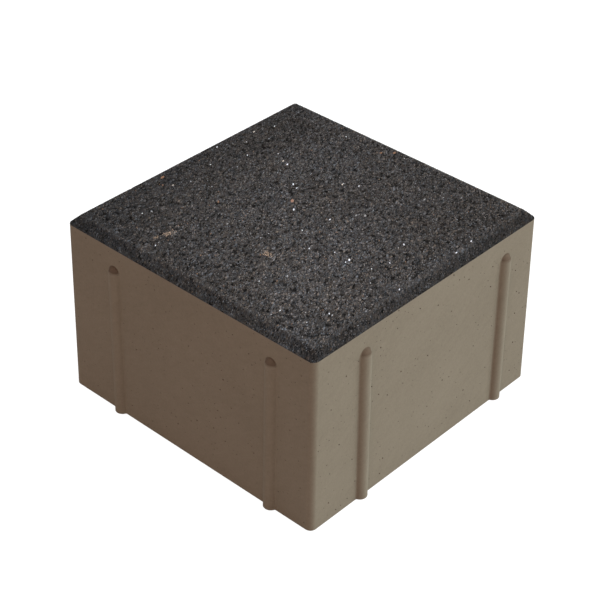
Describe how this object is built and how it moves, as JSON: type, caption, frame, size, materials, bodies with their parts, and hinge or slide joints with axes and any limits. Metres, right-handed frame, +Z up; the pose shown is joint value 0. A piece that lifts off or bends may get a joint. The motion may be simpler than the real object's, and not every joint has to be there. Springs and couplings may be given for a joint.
{
  "type": "paving block",
  "caption": "Square concrete paving block with a dark granular facing, chamfered top edge and small spacer ribs on its side walls.",
  "frame": {"origin": "centre of the underside, on the ground that the block lies on", "axes": "+Z up through the wearing face; +X and +Y square to two neighbouring side walls"},
  "size_m": [0.1, 0.1, 0.06],
  "materials": {
    "facing_concrete": "coarse granular, blasted",
    "backing_concrete": "smooth from the mould"
  },
  "bodies": {
    "root": {"facing_layer": "facing_concrete", "body_block": "backing_concrete"}
  },
  "joints": []
}
